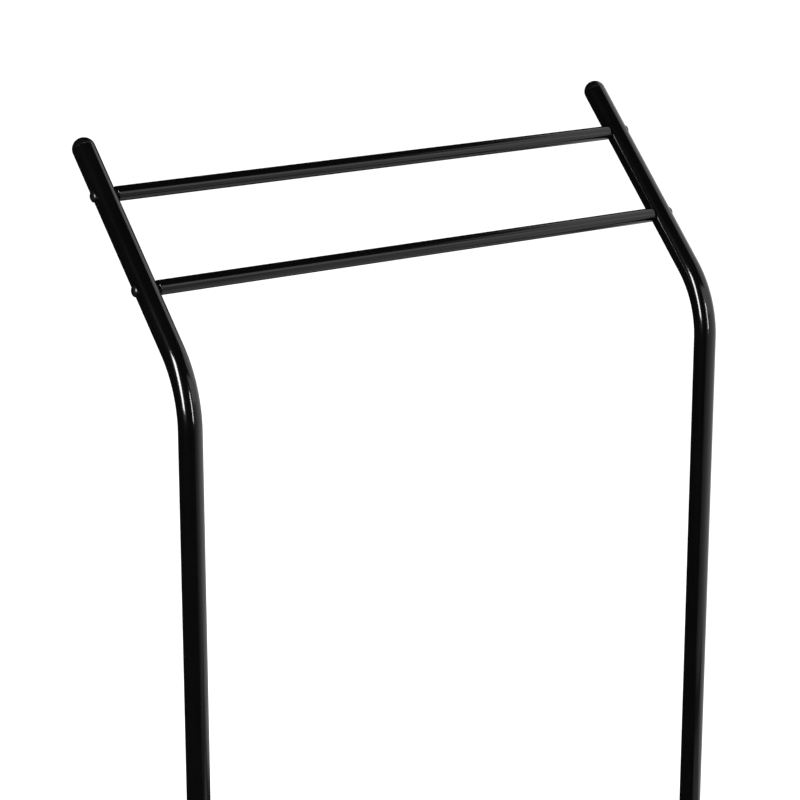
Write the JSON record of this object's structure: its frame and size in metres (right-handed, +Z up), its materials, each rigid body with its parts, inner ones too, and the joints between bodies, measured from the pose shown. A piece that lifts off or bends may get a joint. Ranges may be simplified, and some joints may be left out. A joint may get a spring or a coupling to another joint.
{
  "type": "garment rail",
  "caption": "Free-standing garment rail in black tube: uprights lean back above a bend and carry hanging rails between them, on T-shaped feet with base rails and levelling pads.",
  "frame": {"origin": "centre of the footprint, on the floor", "axes": "+Z up, +X from the left upright to the right one seen from the front, -Y is the front; the tops lean towards +Y"},
  "size_m": [0.711, 0.4852, 1.5],
  "materials": {
    "tube_coat": "semi-gloss black powder coat on steel tube",
    "bolt_black": "black oxide steel, satin",
    "cap_plastic": "moulded black polyethylene, satin",
    "pad_plastic": "moulded black nylon, fine matt texture",
    "zinc_plate": "bright zinc plated steel"
  },
  "bodies": {
    "frame": {"left_upper_upright": "tube_coat", "right_upper_upright": "tube_coat", "left_lower_upright": "tube_coat", "right_lower_upright": "tube_coat", "left_foot": "tube_coat", "right_foot": "tube_coat", "upper_hanging_rail": "tube_coat", "lower_hanging_rail": "tube_coat", "front_base_rail": "tube_coat", "rear_base_rail": "tube_coat", "left_splice_sleeve": "zinc_plate", "right_splice_sleeve": "zinc_plate", "left_foot_sleeve": "zinc_plate", "right_foot_sleeve": "zinc_plate", "hanging_rail_inserts": "zinc_plate", "base_rail_inserts": "zinc_plate", "levelling_bushes": "zinc_plate", "hanging_rail_bolts": "bolt_black", "base_rail_bolts": "bolt_black", "splice_screws": "bolt_black", "foot_sleeve_screws": "bolt_black", "left_top_cap": "cap_plastic", "right_top_cap": "cap_plastic", "left_front_foot_cap": "cap_plastic", "left_rear_foot_cap": "cap_plastic", "right_front_foot_cap": "cap_plastic", "right_rear_foot_cap": "cap_plastic"},
    "left_front_pad_body": {"left_front_pad": "pad_plastic"},
    "left_front_stem_body": {"left_front_stem": "zinc_plate"},
    "left_rear_pad_body": {"left_rear_pad": "pad_plastic"},
    "left_rear_stem_body": {"left_rear_stem": "zinc_plate"},
    "right_front_pad_body": {"right_front_pad": "pad_plastic"},
    "right_front_stem_body": {"right_front_stem": "zinc_plate"},
    "right_rear_pad_body": {"right_rear_pad": "pad_plastic"},
    "right_rear_stem_body": {"right_rear_stem": "zinc_plate"}
  },
  "joints": [
    {"name": "left_front_pad_travel", "type": "slide", "parent": "frame", "child": "left_front_pad_body", "axis": [0, 0, -1], "range_m": [0, 0.01]},
    {"name": "left_front_stem_turn", "type": "hinge", "parent": "left_front_pad_body", "child": "left_front_stem_body", "pos_m": [-0.3375, -0.2, 0.01], "axis": [0, 0, -1], "range_deg": [0, 2880]},
    {"name": "left_rear_pad_travel", "type": "slide", "parent": "frame", "child": "left_rear_pad_body", "axis": [0, 0, -1], "range_m": [0, 0.01]},
    {"name": "left_rear_stem_turn", "type": "hinge", "parent": "left_rear_pad_body", "child": "left_rear_stem_body", "pos_m": [-0.3375, 0.2, 0.01], "axis": [0, 0, -1], "range_deg": [0, 2880]},
    {"name": "right_front_pad_travel", "type": "slide", "parent": "frame", "child": "right_front_pad_body", "axis": [0, 0, -1], "range_m": [0, 0.01]},
    {"name": "right_front_stem_turn", "type": "hinge", "parent": "right_front_pad_body", "child": "right_front_stem_body", "pos_m": [0.3375, -0.2, 0.01], "axis": [0, 0, -1], "range_deg": [0, 2880]},
    {"name": "right_rear_pad_travel", "type": "slide", "parent": "frame", "child": "right_rear_pad_body", "axis": [0, 0, -1], "range_m": [0, 0.01]},
    {"name": "right_rear_stem_turn", "type": "hinge", "parent": "right_rear_pad_body", "child": "right_rear_stem_body", "pos_m": [0.3375, 0.2, 0.01], "axis": [0, 0, -1], "range_deg": [0, 2880]}
  ],
  "couplings": [
    {"joint": "left_front_stem_turn", "follows": "left_front_pad_travel", "rad_per_m": 5026.5},
    {"joint": "left_rear_stem_turn", "follows": "left_rear_pad_travel", "rad_per_m": 5026.5},
    {"joint": "right_front_stem_turn", "follows": "right_front_pad_travel", "rad_per_m": 5026.5},
    {"joint": "right_rear_stem_turn", "follows": "right_rear_pad_travel", "rad_per_m": 5026.5}
  ]
}
